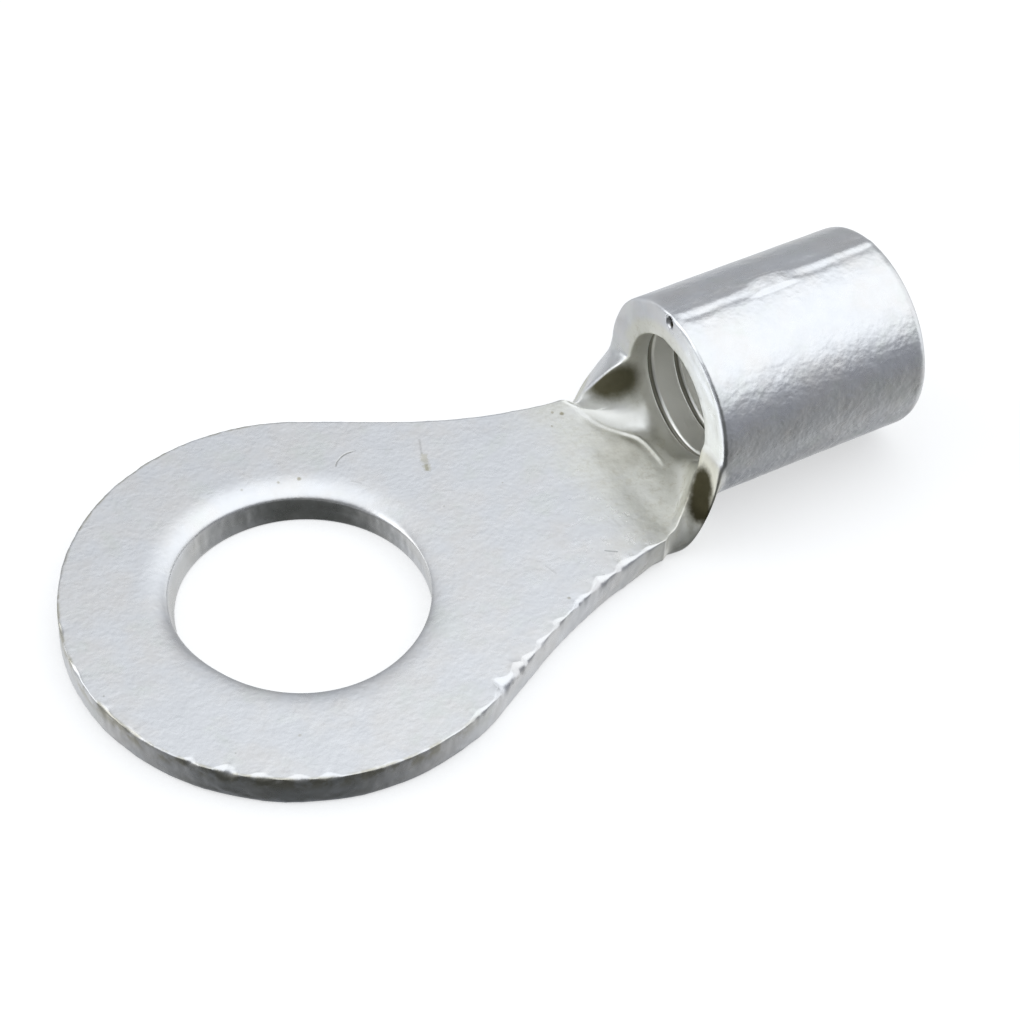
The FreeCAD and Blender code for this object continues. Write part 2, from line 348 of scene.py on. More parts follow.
def dish(r, ang):
    """Drop of the upper skin round the hole at radius r."""
    w = DISH_W * (1 + 0.06 * np.sin(ang + 0.6) + 0.03 * noise3(np.cos(ang) * 2.5, np.sin(ang) * 2.5, 0.5))
    c = np.clip(1 - (r - hole_top(ang)) / w, 0, 1)
    return dish_depth(ang) * (1 - np.sqrt(1 - np.clip(c, 0, 1) ** 2.35))


def dish_depth(ang):
    far = smooth((np.cos(ang - math.radians(100)) + 0.33) / 0.75)
    return DISH_NEAR + (DISH_FAR - DISH_NEAR) * far


def hole_top(ang):
    """Radius of the pierced wall at its upper edge; the punch has gone through slightly askew."""
    near = smooth(np.cos(ang + math.radians(105)))
    return HOLE_R - 0.15 * np.clip(np.cos(ang - math.radians(186)), 0, 1) ** 2 - 0.02 - 0.03 * near


def hole_low(ang):
    left = np.clip(np.cos(ang - math.radians(170)), 0, 1) ** 8
    far = np.clip(np.cos(ang - math.radians(72)), 0, 1) ** 3
    return 4.105 + 0.155 * np.cos(ang) - 0.07 * left - 0.09 * far


# ------------------------------------------------------------------ tongue
inset, depth = edge_profile(et_ring, el_ring, TONGUE_T)
facet = smooth((et_ring - 0.07) / 0.1)
wall = np.zeros((ROWS, NR + 1, 3))
for r in range(ROWS):
    q = ring_pts - ring_out * inset[r][:, None]
    rag = 0.010 * noise3(ring_u * 6.0, r * 0.9, 3.3) + 0.012 * noise3(ring_u * 1.4, r * 0.25, 6.1)
    rag = rag * (1.0 if 2 <= r <= ROWS - 4 else 0.4) * ends
    chip = 0.030 * noise3(ring_u * 9.0, r * 1.1, 13.3) * facet * (1.0 if r <= 4 else 0.0)
    q = q + ring_out * (rag + chip)[:, None]
    wall[r, :, :2] = q
    wall[r, :, 2] = TONGUE_T - depth[r] + (top_relief(q[:, 0], q[:, 1]) * ends if r < 3 else 0.0)
    wall[r, :, 2] += 0.5 * chip
wall_i = put(wall)

# neck stations
xs_n = np.concatenate([
    [11.3], np.arange(11.33, 11.60, 0.024), np.arange(11.63, 13.405, 0.0512)])
xs_n[-1] = X_FRONT
NB = len(xs_n) - 1


def side_data(side, sign, mitre):
    """Blank points and outward directions of a side of the neck at the stations."""
    e = 1e-4
    s = side(xs_n)
    slope_s = (side(np.minimum(xs_n + e, X_FRONT)) - side(np.maximum(xs_n - e, X_LOFT))) / (
        np.minimum(xs_n + e, X_FRONT) - np.maximum(xs_n - e, X_LOFT))
    ox, oy = -slope_s, np.ones_like(s)
    n = np.hypot(ox, oy)
    ox, oy = ox / n, oy / n
    # square to the end plane at the tongue, mitred into the barrel's face at the corner
    a = smooth((xs_n - 11.58) / 0.25)
    b = smooth((xs_n - 13.15) / 0.25)
    ox, oy = ox * a, oy * a + (1 - a)
    ox, oy = ox * (1 - b) - b, oy * (1 - b) + mitre * b
    return s, ox, oy * sign


def neck_relief(x, s):
    """Extra height of the upper skin: the tool's edge has left a fine raised line and a small
    step where the flat ends and the trough begins."""
    d = x - mark_x(s)
    fade = smooth((s + 0.95) / 0.55)
    ridge = 0.038 * np.exp(-((d + 0.015) / 0.045) ** 2) * fade * (1 - 0.6 * smooth((s - 1.6) / 0.8))
    ditch = -0.010 * np.exp(-((d + 0.17) / 0.10) ** 2) * fade
    wave = 0.012 * noise3(x * 2.0, s * 1.2, 3.5) + 0.006 * noise3(x * 4.5, s * 3.5, 6.5)
    # the flat lifts a little towards the barrel and drops again inside the mouth
    hump = 0.13 * smooth((x - 11.35) / 1.9) * smooth((14.25 - x) / 0.9)
    hump = hump * smooth((s + 3.35) / 0.8) * smooth((2.3 - s) / 1.6)
    return (ridge + ditch) + wave * smooth((x - 11.6) / 0.4) + hump


s_n, oxn, osn = side_data(side_near, -1.0, 0.29)
s_f, oxf, osf = side_data(side_far, 1.0, 0.65)


def wear_side(x, seed):
    return E_TOP + (0.016 * noise3(x * 6.0, seed, 1.0) + 0.012) * smooth((x - 11.35) / 0.3)


et_n, et_f = wear_side(xs_n, 3.0), wear_side(xs_n, 8.0)
et_f = et_f + 0.07 * smooth((xs_n - 12.3) / 0.4) * smooth((13.42 - xs_n) / 0.12)
el_n, el_f = low_round(xs_n, -1.0), E_LOW + 0 * xs_n
wallN = np.zeros((NB + 1, ROWS, 3))
wallF = np.zeros((NB + 1, ROWS, 3))
bev_n, bev_f = 0 * xs_n, bevel_far(xs_n)
for (w, sgn, ss, ox, oy, et, el, bev) in ((wallN, -1.0, s_n, oxn, osn, et_n, el_n, bev_n),
                                          (wallF, 1.0, s_f, oxf, osf, et_f, el_f, bev_f)):
    ins, dep = edge_profile(et, el, sheet_t(xs_n))
    for r in range(ROWS):
        rag = 0.010 * noise3(xs_n * 5.0, r * 0.9, 23.3 + sgn) * smooth((xs_n - 11.35) / 0.2)
        bx = xs_n - ox * (ins[r] - rag)
        bs = sgn * ss - oy * (ins[r] - rag) - sgn * bev * dep[r] / sheet_t(xs_n)
        k = 1.0 - 2.0 * dep[r] / sheet_t(xs_n)
        w[:, r] = place(bx, bs, k)
wallN_i = np.zeros((NB + 1, ROWS), int)
wallF_i = np.zeros((NB + 1, ROWS), int)
wallN_i[0], wallF_i[0] = wall_i[:, 0], wall_i[:, NR]
wallN_i[1:], wallF_i[1:] = put(wallN[1:]), put(wallF[1:])


def across(i, et, side):
    """Blank points of one skin's row at station i, from the near side to the far side."""
    ins_n, ins_f = (et_n[i], et_f[i]) if et else (el_n[i], el_f[i])
    xn, sn_ = xs_n[i] - oxn[i] * ins_n, -s_n[i] - osn[i] * ins_n
    xf, sf_ = xs_n[i] - oxf[i] * ins_f, s_f[i] - osf[i] * ins_f - (0.0 if et else bev_f[i])
    s = sn_ + (sf_ - sn_) * np.linspace(0, 1, NS + 1)
    x = xs_n[i] + (xn - xs_n[i]) * np.clip(-s / abs(sn_), 0, 1) ** 5 + (xf - xs_n[i]) * np.clip(
        s / abs(sf_), 0, 1) ** 5
    return x, s


top_i = np.zeros((NB + 1, NS + 1), int)
bot_i = np.zeros((NB + 1, NS + 1), int)
for i in range(NB + 1):
    top_i[i, 0], top_i[i, -1] = wallN_i[i, 0], wallF_i[i, 0]
    bot_i[i, 0], bot_i[i, -1] = wallN_i[i, -1], wallF_i[i, -1]
    x, s = across(i, True, 1)
    edge = smooth(np.minimum(np.arange(NS + 1), NS - np.arange(NS + 1)) / 4.0)
    extra = neck_relief(x, s) * edge
    pts = place(x, s, 1.0, extra)
    if i == 0:
        pts[:, 2] += top_relief(pts[:, 0], pts[:, 1]) * edge
    else:
        pts[:, 2] += top_relief(pts[:, 0], pts[:, 1]) * edge * smooth((12.0 - x) / 0.7)
    top_i[i, 1:-1] = put(pts[1:-1])
    x, s = across(i, False, -1)
    bot_i[i, 1:-1] = put(place(x, s, -1.0)[1:-1])
sew(top_i, flip=True)
sew(bot_i)
sew(wallN_i)
sew(wallF_i, flip=True)
sew(wall_i.T)

# upper and lower skins of the tongue, the hole's rim and wall
NC = NR + NS
loop_top = np.concatenate([wall_i[0], top_i[0, 1:-1][::-1]])
loop_bot = np.concatenate([wall_i[-1], bot_i[0, 1:-1][::-1]])
all_v = np.concatenate(verts)
out_top, out_bot = all_v[loop_top], all_v[loop_bot]
plan = np.concatenate([ring_pts, np.stack([
    np.full(NS - 1, X_LOFT), np.linspace(NECK_END, -NECK_END, NS + 1)[1:-1]], -1)])
# a line set back evenly from the outline, which the torn places don't reach
u_end = np.minimum(ring_u, ring_u[-1] - ring_u)
turn_r = (1 - smooth(u_end / 1.2))[:, None]
turn_n = (1 - smooth((NECK_END - np.abs(plan[NR + 1:, 1])) / 0.8))[:, None]
diag = np.stack([np.ones(len(plan)), np.sign(plan[:, 1])], -1) / math.sqrt(2.0)
away = np.concatenate([ring_out * (1 - turn_r) + diag[:NR + 1] * turn_r,
                       np.array([[1.0, 0.0]]) * (1 - turn_n) + diag[NR + 1:] * turn_n])
away /= np.hypot(away[:, 0], away[:, 1])[:, None]
base = plan - away * 0.60
ang = np.unwrap(np.arctan2(base[:, 1], base[:, 0]))
cs, sn = np.cos(ang), np.sin(ang)

fr = np.concatenate([[0.0, 0.003, 0.010, 0.022, 0.04, 0.065, 0.10, 0.14, 0.19, 0.25],
                     np.linspace(0.32, 1.0, 12)])
rows = []
rim_r = hole_top(ang)
for f in fr:
    px = rim_r * cs + (base[:, 0] - rim_r * cs) * f
    py = rim_r * sn + (base[:, 1] - rim_r * sn) * f
    # rows near the hole stay round, later ones take the outline's shape
    rr = rim_r + 2.9 * f
    g = smooth((f - 0.12) / 0.4)
    px, py = rr * cs * (1 - g) + px * g, rr * sn * (1 - g) + py * g
    z = TONGUE_T - dish(np.hypot(px, py), ang) + top_relief(px, py)
    z = np.where(f == 0.0, TONGUE_T - dish_depth(ang), z)
    rows.append(np.stack([px, py, z], -1))
for g in (0.30, 0.58, 0.80, 0.93):
    q = base * (1 - g) + out_top[:, :2] * g
    z = TONGUE_T + top_relief(q[:, 0], q[:, 1])
    z = z + (out_top[:, 2] - z) * smooth((g - 0.4) / 0.6)
    rows.append(np.stack([q[:, 0], q[:, 1], z], -1))
skin_top = put(np.array(rows))
skin_top = np.concatenate([skin_top, loop_top[None]], 0)

low_rows = []
e_h = 0.045
for f in [0.0] + list(np.linspace(0.05, 0.95, 9)) + [0.985]:
    rr = hole_low(ang) + e_h
    px = rr * cs + (out_bot[:, 0] - rr * cs) * f
    py = rr * sn + (out_bot[:, 1] - rr * sn) * f
    z = 0.004 * (1 + noise3(px * 0.5, py * 0.5, 15.0)) * smooth(f / 0.1) * smooth((1 - f) / 0.1)
    low_rows.append(np.stack([px, py, z + 0 * px], -1))
skin_bot = put(np.array(low_rows))
skin_bot = np.concatenate([skin_bot, loop_bot[None]], 0)

hole_rows = []
z_top = TONGUE_T - dish_depth(ang)
for t in (0.10, 0.28, 0.5, 0.75, 0.93, 1.0):
    z = z_top + (e_h - z_top) * t
    rad = hole_top(ang) + (hole_low(ang) - hole_top(ang)) * t
    rad = rad + 0.012 * noise3(np.cos(ang) * 22.0, np.sin(ang) * 22.0, t * 1.5) * (1.0 if t < 0.9 else 0.3)
    # the break zone of the pierced wall opens slightly
    rad = rad + 0.03 * smooth((t - 0.45) / 0.3) * (1.0 if t < 0.9 else 0.0)
    hole_rows.append(np.stack([rad * cs, rad * sn, 0 * ang + z], -1))
rad = hole_low(ang) + 0.012
hole_rows.append(np.stack([rad * cs, rad * sn, 0 * ang + 0.012], -1))
hole_i = put(np.array(hole_rows))
hole_i = np.concatenate([skin_top[:1], hole_i, skin_bot[:1]], 0)

sew(skin_top, loop=True)
sew(skin_bot, flip=True, loop=True)
sew(hole_i, flip=True, loop=True)


# ------------------------------------------------------------------ barrel
def seam_offset(x, s):
    """Distance along the sheet from the seam, s running on past the seam."""
    return s - (S_SEAM - SEAM_DRIFT * (x - X_FRONT) / (X_REAR - X_FRONT) * 1.0
                + 0.02 * noise3(x * 1.1, 2.0, 2.0))


def outer_relief(x, s):
    """How far the outer skin stands proud: the seam's shallow valley, the run of filler on it,
    the rolling marks and the slight unevenness of the plating."""
    d = seam_offset(x, s)
    depth = 0.014 + 0.004 * noise3(x * 0.9, 5.0, 1.0)
    valley = -depth * np.exp(-((d - 0.08) / (0.10 + 0.012 * noise3(x * 1.7, 1.0, 7.0))) ** 2)
    lip = 0.024 * np.exp(-((d + 0.16) / 0.13) ** 2) + 0.008 * np.exp(-((d - 0.32) / 0.12) ** 2)
    # filler: a puddle with an uneven outline, thick at its front end
    u = (x - 17.15) / 1.22
    core = smooth((1 - np.abs(u)) / 0.85) * (1.0 - 0.15 * u)
    half = 0.42 * (1 + 0.15 * noise3(x * 1.4, 3.0, 3.0)) * (1.0 - 0.2 * u)
    q = (d + 0.10 - 0.05 * u) / half
    # it leans to the near side and ends there in a steep rim
    puddle = 0.15 * core * smooth((1.2 + q) / 0.8) * (0.82 - 0.32 * q) * smooth((1 - q) / 0.34)
    tail = 0.024 * smooth((x - 17.9) / 1.0) * np.exp(-((d + 0.06) / 0.17) ** 2)
    skin = 0.010 * noise3(x * 1.1, s * 1.1, 21.0) + 0.005 * noise3(x * 2.9, s * 2.9, 31.0)
    return valley * (1 - 0.9 * smooth(core * 2)) + lip * (1 - core) + puddle + tail + skin


def inner_relief(x, s):
    """Negative where the serrations run round the inside; a slight valley at the seam."""
    d = seam_offset(x, s)
    out = -0.05 * np.exp(-(d / 0.12) ** 2)
    for i in range(GROOVE_COUNT):
        g = GROOVE_FIRST + i * GROOVE_PITCH
        c = g + 0.02 * noise3(s * 0.8, i * 3.1, 1.0)
        t = np.abs(x - c) / (GROOVE_W / 2)
        out = out - GROOVE_D * smooth((1.0 - t) / 0.40)
        out = out + 0.018 * np.exp(-((x - c + GROOVE_W * 0.72) / 0.04) ** 2)
    return out + 0.006 * noise3(x * 1.5, s * 1.5, 41.0)


half = NF // 2
fine = np.cumsum(np.concatenate([np.full(38, 0.030), np.linspace(0.03, 0.155, half - 38)]))
fine = fine / fine[-1] * S_CORNER
s_face = np.concatenate([S_SEAM - fine[::-1], [S_SEAM], S_SEAM + fine])      # NF + 1 values
s_face[0], s_face[-1] = S_CORNER, 2 * S_SEAM - S_CORNER
s_loop = np.concatenate([np.linspace(-S_CORNER, S_CORNER, NS + 1), s_face[1:-1]])

# front face
PIT_S, PIT_DEPTH, PIT_R = S_SEAM - 0.27, 0.93, 0.165
wob = 0.018 * noise3(s_face * 1.1, 2.0, 51.0) * smooth(np.minimum(np.arange(NF + 1), NF - np.arange(NF + 1)) / 10.0)
et_face = E_TOP + 0.03 + 0.02 * noise3(s_face * 2.2, 6.0, 5.0)
blend_ends = smooth(np.minimum(np.arange(NF + 1), NF - np.arange(NF + 1)) / 6.0)
et_face = et_face * blend_ends + et_n[-1] * (1 - blend_ends)
el_face = np.full(NF + 1, E_LOW)
ins, dep = edge_profile(et_face, el_face, WALL_T)
face = np.zeros((ROWS, NF + 1, 3))
for r in range(ROWS):
    share = dep[r] / WALL_T
    p = 0.42 * smooth((1.25 - np.hypot((s_face - PIT_S), dep[r] - PIT_DEPTH) / PIT_R) / 0.6)
    rag = 0.012 * noise3(s_face * 3.0, r * 0.7, 61.0) * blend_ends
    bx = X_FRONT + ins[r] + wob + rag + p
    face[r] = place(np.maximum(bx, X_FRONT), s_face, 1 - 2 * share)
    face[r, :, 0] = bx
face_i = np.zeros((ROWS, NF + 1), int)
face_i[:, 0], face_i[:, -1] = wallF_i[-1], wallN_i[-1]
face_i[:, 1:-1] = put(face[:, 1:-1])
sew(face_i, flip=True)

# outer rows, the rear rim, then the inner rows back to the front
first_out = np.concatenate([bot_i[-1], face_i[-1, 1:-1]])
first_in = np.concatenate([top_i[-1], face_i[0, 1:-1]])
all_v = np.concatenate(verts)
lead_out = all_v[first_out][:, 0]
lead_in = all_v[first_in][:, 0]

rows = []
x_out = np.concatenate([[13.56, 13.60, 13.66, 13.73], np.arange(13.82, X_REAR - REAR_ROUND - 0.02, 0.115)])
for x in x_out:
    xx = x + 0 * s_loop
    late = smooth((13.95 - x) / 0.45)
    xx = xx + np.maximum(lead_out - (X_FRONT + E_LOW), -0.12) * late
    ext = outer_relief(xx, s_loop) * smooth((x - 13.5) / 0.25)
    rows.append(place(xx, s_loop, -1.0, ext))
for al in np.radians(np.linspace(0, 90, 8)):
    x = X_REAR - REAR_ROUND + REAR_ROUND * math.sin(al)
    drop = REAR_ROUND * (1 - math.cos(al))
    ext = outer_relief(x + 0 * s_loop, s_loop) * math.cos(al) ** 2 - drop
    ext = ext + 0.012 * noise3(s_loop * 1.3, al * 2.0, 71.0) * math.sin(al)
    rows.append(place(x + 0 * s_loop, s_loop, -1.0, ext))
rear_d = [0.62, 0.8, WALL_T - REAR_INNER - 0.02, WALL_T - REAR_INNER]
for d in rear_d:
    rows.append(place(X_REAR - 0.008 * (1 + noise3(s_loop * 2.0, d * 3, 2.0)), s_loop, -1.0, -d))
for al in (30, 60, 90):
    al = math.radians(al)
    x = X_REAR - REAR_INNER * (1 - math.cos(al))
    rows.append(place(x + 0 * s_loop, s_loop, 1.0, -REAR_INNER * (1 - math.sin(al))))
x_in = [21.2, 21.0]
for i in reversed(range(GROOVE_COUNT)):
    g = GROOVE_FIRST + i * GROOVE_PITCH
    x_in += [g + 0.45, g + 0.20, g + 0.105, g + 0.07, g + 0.035, g - 0.035, g - 0.07, g - 0.105,
             g - 0.137, g - 0.17, g - 0.23]
x_in = [x for x in x_in if x > 13.75] + [13.8, 13.72, 13.64, 13.56, 13.50]
for x in sorted(set(x_in), reverse=True):
    xx = x + 0 * s_loop
    late = smooth((13.95 - x) / 0.5)
    xx = xx + (lead_in - (X_FRONT + np.mean(et_face))) * late
    ext = inner_relief(xx, s_loop) * smooth((x - 13.42) / 0.3) * smooth((X_REAR - x) / 0.2)
    low = np.abs(s_loop) < S_CORNER
    ext = ext + np.where(low, neck_relief(xx, np.clip(s_loop, -9, 9)) * smooth((14.3 - x) / 0.4), 0.0)
    rows.append(place(xx, s_loop, 1.0, ext))
tube = put(np.array(rows))
tube = np.concatenate([first_out[None], tube, first_in[None]], 0)
sew(tube, loop=True)

co = np.concatenate(verts) * 1e-3
faces = np.concatenate(quads)

mesh = bpy.data.meshes.new("terminal")
mesh.from_pydata(co.tolist(), [], faces.tolist())
mesh.validate()
bm = bmesh.new()
bm.from_mesh(mesh)
bmesh.ops.recalc_face_normals(bm, faces=bm.faces)
bm.to_mesh(mesh)
bm.free()
body = bpy.data.objects.new("terminal_skin", mesh)
bpy.context.scene.collection.objects.link(body)
mesh.polygons.foreach_set("use_smooth", np.ones(len(mesh.polygons), bool))
mesh.update()

# ------------------------------------------------------------------ finish: tin plate
mat = bpy.data.materials.new("tin_plate")
mat.use_nodes = True
nt = mat.node_tree
nt.nodes.clear()


def node(kind, **props):
    n = nt.nodes.new(kind)
    for k, v in props.items():
        setattr(n, k, v)
    return n


def link(a, b):
    nt.links.new(a, b)


def maths(op, a, b=None, clamp=False):
    n = node("ShaderNodeMath", operation=op, use_clamp=clamp)
    for i, v in enumerate((a, b)):
        if v is None:
            continue
        if isinstance(v, (int, float)):
            n.inputs[i].default_value = v
        else:
            link(v, n.inputs[i])
    return n.outputs[0]


def ramp(value, lo, hi, out_lo=0.0, out_hi=1.0):
    n = node("ShaderNodeMapRange", interpolation_type="SMOOTHSTEP")
    link(value, n.inputs[0])
    for i, v in enumerate((lo, hi, out_lo, out_hi)):
        n.inputs[1 + i].default_value = v
    return n.outputs[0]


def noise(scale, detail=2.0, rough=0.5, offset=(0, 0, 0), distortion=0.0):
    m = node("ShaderNodeMapping")
    link(mm, m.inputs[0])
    m.inputs["Location"].default_value = offset
    n = node("ShaderNodeTexNoise")
    n.inputs["Scale"].default_value = scale
    n.inputs["Detail"].default_value = detail
    n.inputs["Roughness"].default_value = rough
    n.inputs["Distortion"].default_value = distortion
    link(m.outputs[0], n.inputs["Vector"])
    return n.outputs[0]


def mix(fac, a, b):
    n = node("ShaderNodeMix", data_type="RGBA")
    link(fac, n.inputs[0])
    for i, v in ((6, a), (7, b)):
        if isinstance(v, tuple):
            n.inputs[i].default_value = (*v, 1.0)
        else:
            link(v, n.inputs[i])
    return n.outputs[2]


coord = node("ShaderNodeTexCoord")
to_mm = node("ShaderNodeVectorMath", operation="SCALE")
link(coord.outputs["Object"], to_mm.inputs[0])
to_mm.inputs["Scale"].default_value = 1000.0
mm = to_mm.outputs[0]

sx = node("ShaderNodeSeparateXYZ")
link(mm, sx.inputs[0])
px, py, pz = sx.outputs


def around(x, y, z, r_in, r_out, ragged=0.0, scale=2.0):
    """1 within r_in of a point and 0 beyond r_out, the border ragged by that many millimetres."""
    d = node("ShaderNodeVectorMath", operation="DISTANCE")
    link(mm, d.inputs[0])
    d.inputs[1].default_value = (x, y, z)
    v = d.outputs["Value"]
    if ragged:
        v = maths("ADD", v, maths("MULTIPLY", maths("SUBTRACT", noise(scale, 3.0, 0.6, (x, y, z)), 0.5),
                                  ragged * 2.0))
    return ramp(v, r_in, r_out, 1.0, 0.0)


def stroke(points, half, ragged=0.0):
    """A line scratched or smeared on the tongue's upper skin through plan points."""
    best = None
    for (ax, ay), (bx, by) in zip(points[:-1], points[1:]):
        ex, ey = bx - ax, by - ay
        qx, qy = maths("SUBTRACT", px, ax), maths("SUBTRACT", py, ay)
        t = maths("ADD", maths("MULTIPLY", qx, ex / (ex * ex + ey * ey)),
                  maths("MULTIPLY", qy, ey / (ex * ex + ey * ey)), clamp=True)
        rx = maths("SUBTRACT", qx, maths("MULTIPLY", t, ex))
        ry = maths("SUBTRACT", qy, maths("MULTIPLY", t, ey))
        d = maths("SQRT", maths("ADD", maths("MULTIPLY", rx, rx), maths("MULTIPLY", ry, ry)))
        best = d if best is None else maths("MINIMUM", best, d)
    if ragged:
        best = maths("ADD", best, maths("MULTIPLY", maths("SUBTRACT", noise(7.0, 2.0, 0.6), 0.5), ragged))
    return maths("MULTIPLY", ramp(best, half * 0.4, half * 1.3, 1.0, 0.0), ramp(pz, 0.95, 1.05))


tint = ramp(noise(0.55, 3.0, 0.6), 0.38, 0.62)
colour = mix(tint, (0.795, 0.803, 0.822), (0.81, 0.796, 0.785))
green = ramp(noise(0.8, 3.0, 0.6, (7, 3, 1)), 0.52, 0.70, 0.0, 0.6)
colour = mix(green, colour, (0.765, 0.79, 0.755))
cloud = ramp(noise(1.9, 4.0, 0.7, (5, 1, 6)), 0.30, 0.72, 0.0, 0.5)
colour = mix(cloud, colour, (0.86, 0.866, 0.88))

# painted shade tone: the neck, the trough and the inside are painted a warmer olive, with darker brown blotches on the
# neck and trough; they are also duller
zc = maths("SUBTRACT", pz, BARREL_R)
rad = maths("SQRT", maths("ADD", maths("MULTIPLY", py, py), maths("MULTIPLY", zc, zc)))
warm_x = ramp(maths("ADD", px, maths("MULTIPLY", noise(0.7, 3.0, 0.6, (3, 8, 2)), 3.0)), 10.4, 14.2)
outside = maths("MULTIPLY", ramp(px, 13.25, 13.42), ramp(rad, 2.6, 2.95))
warm = maths("MULTIPLY", warm_x, maths("SUBTRACT", 1.0, outside))
# the far ear's cut edge is left out of the painted shade tone
ear_q = maths("ADD", py, maths("MULTIPLY", px, 0.7))
ear_cut = maths("MULTIPLY", maths("MULTIPLY", ramp(ear_q, 11.50, 11.56), ramp(pz, 1.5, 1.8)),
                maths("MULTIPLY", ramp(py, 2.31, 2.40), ramp(px, 13.38, 13.42, 1.0, 0.0)))
warm = maths("MULTIPLY", warm, maths("SUBTRACT", 1.0, ear_cut))
colour = mix(warm, colour, (0.865, 0.86, 0.79))
tan = ramp(noise(4.2, 4.0, 0.7, (6, 2, 2)), 0.48, 0.66, 0.0, 0.34)
colour = mix(maths("MULTIPLY", tan, maths("MULTIPLY", warm, ramp(px, 13.6, 14.0, 1.0, 0.0))), colour, (0.62, 0.585, 0.47))
# painted light: the inside of the barrel is painted lighter so that it reads brighter
inside = maths("MULTIPLY", ramp(px, 13.3, 14.6), maths("SUBTRACT", 1.0, ramp(rad, 2.5, 2.7)))
colour = mix(inside, colour, (0.985, 0.98, 0.94))
# painted shade: the serration grooves inside the barrel are painted dark olive
groove_painted_shade = maths("MULTIPLY", maths("MULTIPLY", ramp(rad, 2.285, 2.34), ramp(rad, 2.50, 2.60, 1.0, 0.0)),
                     maths("MULTIPLY", ramp(px, 14.0, 14.05), ramp(px, 20.9, 21.0, 1.0, 0.0)))
colour = mix(maths("MULTIPLY", groove_painted_shade, 0.85), colour, (0.22, 0.21, 0.165))
# painted light: the upper part of the barrel's front face is painted lighter, more so towards the near side
front = maths("MULTIPLY", maths("MULTIPLY", ramp(px, 13.30, 13.36), ramp(px, 13.43, 13.50, 1.0, 0.0)),
              maths("MULTIPLY", ramp(rad, 2.22, 2.30), ramp(pz, 2.9, 3.6)))
nearside_painted_light = ramp(py, 0.6, -1.9, 0.0, 1.0)
colour = mix(maths("MULTIPLY", front, nearside_painted_light), colour, (0.91, 0.925, 0.935))

# painted shade streaks on the ring's cut wall under its torn upper corner, on the part of the ring away from the barrel
far_out = ramp(px, 1.0, 3.5, 1.0, 0.0)
edge_shade_streaks = maths("MULTIPLY", maths("MULTIPLY", ramp(pz, 0.50, 0.90), ramp(noise(1.3, 3.0, 0.65, (8, 8, 1)), 0.40, 0.58)),
               far_out)

# painted shade: the ring's cut wall is painted greyer and browner in those streaks, and the hole's wall is painted
# greyer, most below mid-height
radial = maths("SQRT", maths("ADD", maths("MULTIPLY", px, px), maths("MULTIPLY", py, py)))
ring_edge_painted_shade = maths("MULTIPLY", edge_shade_streaks, ramp(radial, RING_R - 0.13, RING_R - 0.03))
colour = mix(maths("MULTIPLY", ring_edge_painted_shade, 0.75), colour, (0.50, 0.475, 0.38))
# painted shade: the hole's wall is painted greyer, most below mid-height
hole_wall_painted_shade = maths("MULTIPLY", ramp(radial, HOLE_R - 0.02, HOLE_R + 0.08, 1.0, 0.0), ramp(pz, 0.62, 0.84, 1.0, 0.35))
colour = mix(maths("MULTIPLY", hole_wall_painted_shade, 0.42), colour, (0.62, 0.62, 0.585))

# dark marks: a very dark brown patch on the near ear's cut edge; painted shade inside the far ear and in the pit of the
# seam
def along(a, b, r_in, r_out, ragged, scale):
    """1 near the line between two points in space, 0 beyond r_out of it."""
    ax, ay, az = a
    ex, ey, ez = (q - p for p, q in zip(a, b))
    qx, qy, qz = maths("SUBTRACT", px, ax), maths("SUBTRACT", py, ay), maths("SUBTRACT", pz, az)
    n2 = ex * ex + ey * ey + ez * ez
    t = maths("ADD", maths("ADD", maths("MULTIPLY", qx, ex / n2), maths("MULTIPLY", qy, ey / n2)),
              maths("MULTIPLY", qz, ez / n2), clamp=True)
    parts = [maths("SUBTRACT", q, maths("MULTIPLY", t, e)) for q, e in ((qx, ex), (qy, ey), (qz, ez))]
    d = None
    for r in parts:
        sq = maths("MULTIPLY", r, r)
        d = sq if d is None else maths("ADD", d, sq)
    d = maths("SQRT", d)
    d = maths("ADD", d, maths("MULTIPLY", maths("SUBTRACT", noise(scale, 3.0, 0.6, a), 0.5), ragged * 2.0))
    return ramp(d, r_in, r_out, 1.0, 0.0)


# a very dark brown patch, with a lighter brown halo round it, on the near ear's cut edge
near_ear_dark_patch = along((13.12, -2.88, 2.42), (12.86, -3.30, 1.64), 0.28, 0.65, 0.15, 3.0)
near_ear_brown_halo = along((13.24, -2.90, 2.95), (12.86, -3.20, 1.64), 0.30, 0.85, 0.14, 2.6)
colour = mix(maths("MULTIPLY", near_ear_brown_halo, 0.55), colour, (0.50, 0.475, 0.38))
colour = mix(maths("MULTIPLY", near_ear_dark_patch, 0.97), colour, (0.065, 0.057, 0.026))
# painted highlight: a lighter band along the trough's far side, where the flat rises to the far ear
trough_painted_highlight = along((12.05, 2.85, 1.35), (13.25, 1.15, 1.35), 0.30, 0.75, 0.15, 1.8)
colour = mix(maths("MULTIPLY", trough_painted_highlight, 0.85), colour, (0.96, 0.96, 0.935))
